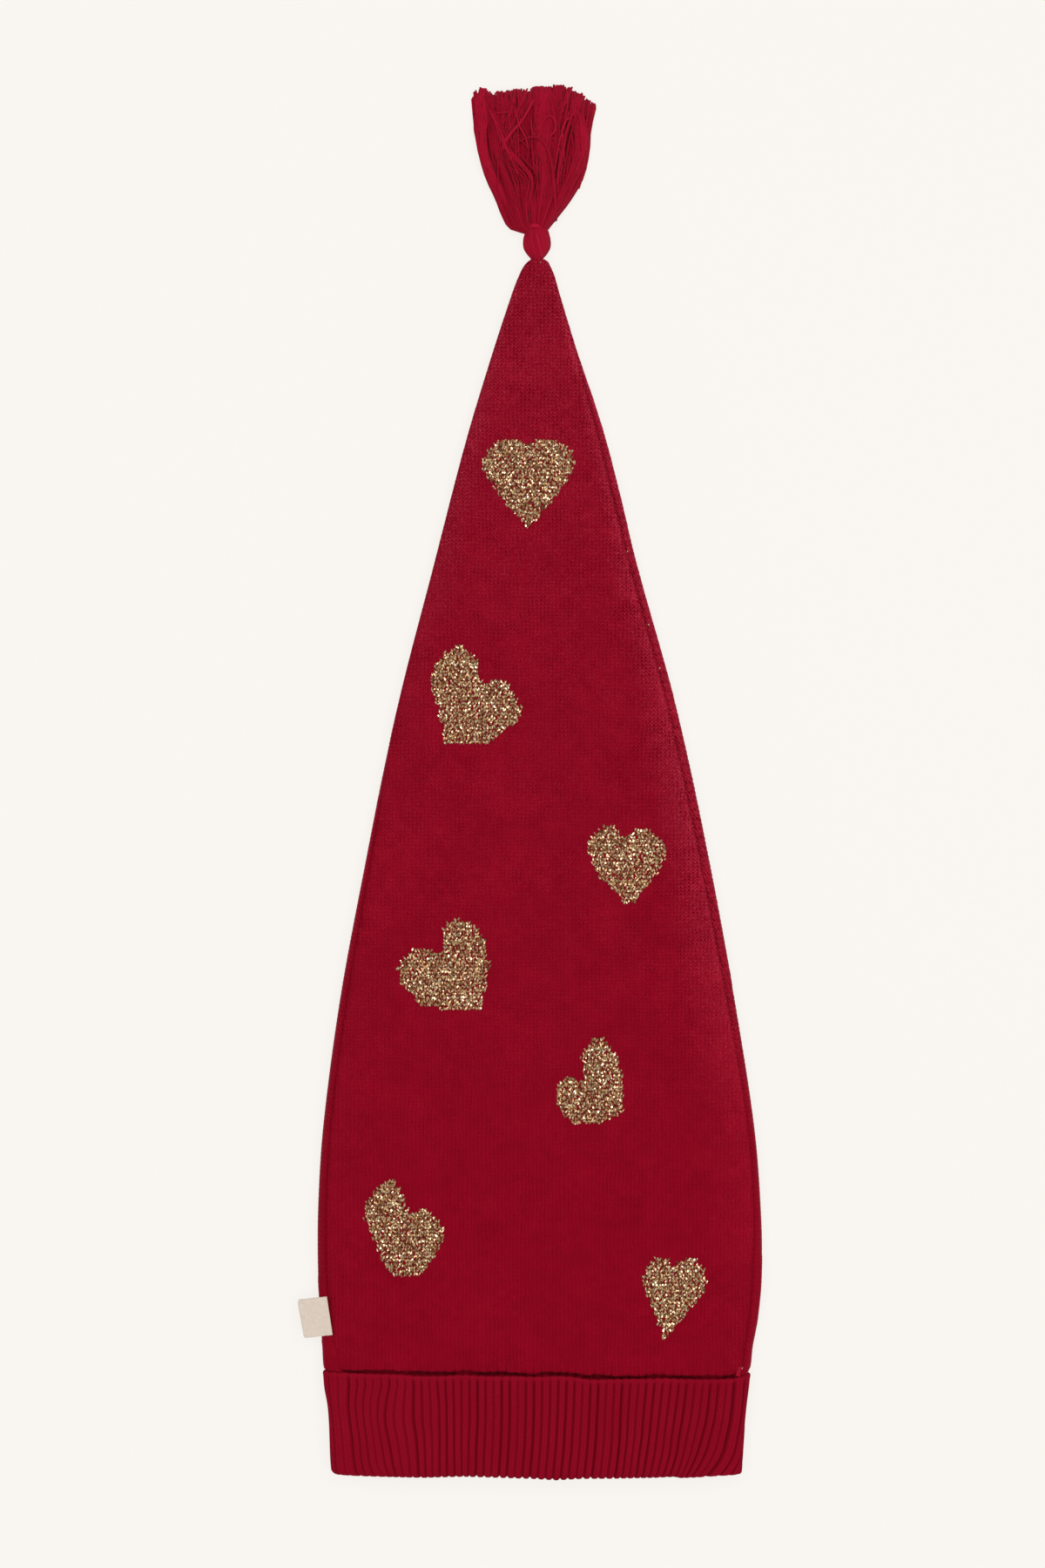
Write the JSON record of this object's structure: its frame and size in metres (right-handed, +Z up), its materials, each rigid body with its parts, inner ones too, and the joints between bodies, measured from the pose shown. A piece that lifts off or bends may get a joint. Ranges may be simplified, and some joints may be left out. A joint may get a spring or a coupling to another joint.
{
  "type": "santa hat",
  "caption": "Long knitted santa hat lying flat, with a tapering crown, scattered gold hearts, a turned-up ribbed cuff, a blank side label and a tassel at its tip.",
  "frame": {"origin": "on the surface the hat lies on, under the middle of its bounding box", "axes": "+Y from the mouth of the cuff to the tassel, +Z up out of the front panel, +X to the right seen from above with the tassel at the top"},
  "size_m": [0.2204, 0.6718, 0.0204],
  "materials": {
    "red_knit": "matt knitted cotton",
    "red_rib": "matt ribbed cotton",
    "gold_yarn": "glittering metallic yarn",
    "cream_tape": "matt woven tape",
    "red_yarn": "soft cotton strands"
  },
  "bodies": {
    "root": {"crown_front": "red_knit", "crown_back": "red_knit", "crown_hem": "red_knit", "crown_side_left": "red_knit", "crown_side_right": "red_knit", "cuff_front": "red_rib", "cuff_back": "red_rib", "heart_1": "gold_yarn", "heart_2": "gold_yarn", "heart_3": "gold_yarn", "heart_4": "gold_yarn", "heart_5": "gold_yarn", "heart_6": "gold_yarn", "heart_7": "gold_yarn", "label": "cream_tape", "tassel_head": "red_yarn", "tassel_tie": "red_yarn", "tassel_fringe": "red_yarn"}
  },
  "joints": []
}
